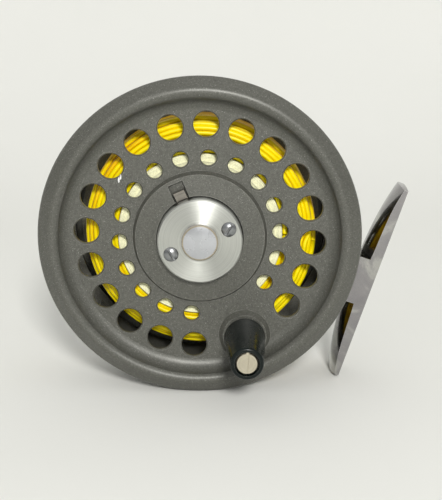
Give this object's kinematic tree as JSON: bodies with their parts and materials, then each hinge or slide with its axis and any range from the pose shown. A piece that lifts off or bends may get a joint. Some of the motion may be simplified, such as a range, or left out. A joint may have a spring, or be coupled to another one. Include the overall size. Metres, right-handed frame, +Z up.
{
  "type": "fly reel",
  "caption": "Single-action fly reel with a perforated, exposed-rim spool, wound line, click check, spool latch, tapered handle and a foot for a rod's seat.",
  "frame": {"origin": "middle of the foot's flat seat, which bears on the rod's reel seat", "axes": "+Z up with the reel standing on its rim; the spindle lies along Y, the handle side faces -Y, +X points towards the foot, whose seat faces 18.55 degrees below +X"},
  "size_m": [0.1054, 0.058, 0.091],
  "materials": {
    "spool_paint": "fine textured warm grey metallic paint, satin",
    "frame_paint": "fine textured warm grey metallic paint, satin",
    "bronze": "turned, oiled",
    "steel": "turned",
    "bright_steel": "polished",
    "spring_steel": "blued",
    "hard_steel": "ground",
    "line_coating": "smooth coated line",
    "backing_braid": "braided",
    "cap_metal": "turned face",
    "badge_metal": "satin",
    "latch_steel": "satin",
    "dark_steel": "blackened",
    "handle_plastic": "gloss",
    "nickel": "nickel plated",
    "pillar_steel": "turned",
    "foot_chrome": "polished",
    "knob_metal": "knurled"
  },
  "bodies": {
    "frame": {"front_ring": "frame_paint", "back_plate": "frame_paint", "pillars": "pillar_steel", "foot_bridge": "frame_paint", "lower_bar": "frame_paint", "foot_screws": "steel", "foot": "foot_chrome", "spindle": "steel", "spindle_washer": "steel", "spindle_nut": "bright_steel", "pawl_pins": "steel", "drag_spring": "spring_steel", "spring_screws": "steel"},
    "spool": {"spool": "spool_paint", "spool_bushing": "bronze", "ratchet_gear": "bronze", "gear_screws": "steel", "fly_line": "line_coating", "backing": "backing_braid", "cap": "cap_metal", "cap_screws": "bright_steel", "badge": "badge_metal", "handle_post": "steel", "handle_washer": "dark_steel", "handle_screw": "nickel", "latch_spring": "steel"},
    "handle": {"handle_knob": "handle_plastic"},
    "latch": {"latch_plate": "latch_steel"},
    "drag": {"drag_knob": "knob_metal", "drag_cam": "bronze", "cam_screw": "steel"},
    "pawl_right": {"pawl_right": "hard_steel"},
    "pawl_left": {"pawl_left": "hard_steel"}
  },
  "joints": [
    {"name": "spool_spin", "type": "hinge", "parent": "frame", "child": "spool", "pos_m": [-0.05044, -0.0155, 0.01692], "axis": [0, -1, 0], "continuous": true},
    {"name": "handle_spin", "type": "hinge", "parent": "spool", "child": "handle", "pos_m": [-0.03773, -0.0295, -0.01201], "axis": [0, -1, 0], "continuous": true},
    {"name": "latch_slide", "type": "slide", "parent": "spool", "child": "latch", "axis": [-0.4019, 0, 0.9157], "range_m": [0, 0.0016], "stiffness_N_per_m": 400, "springref_m": -0.003},
    {"name": "drag_turn", "type": "hinge", "parent": "frame", "child": "drag", "pos_m": [-0.05044, 0.0125, 0.03893], "axis": [0, 1, 0], "range_deg": [0, 180]},
    {"name": "pawl_right_rock", "type": "hinge", "parent": "frame", "child": "pawl_right", "pos_m": [-0.0447, 0.0085, 0.03078], "axis": [0, -1, 0], "range_deg": [-4, 4], "stiffness_Nm_per_rad": 0.02},
    {"name": "pawl_left_rock", "type": "hinge", "parent": "frame", "child": "pawl_left", "pos_m": [-0.05618, 0.0085, 0.03078], "axis": [0, -1, 0], "range_deg": [-4, 4], "stiffness_Nm_per_rad": 0.02}
  ]
}
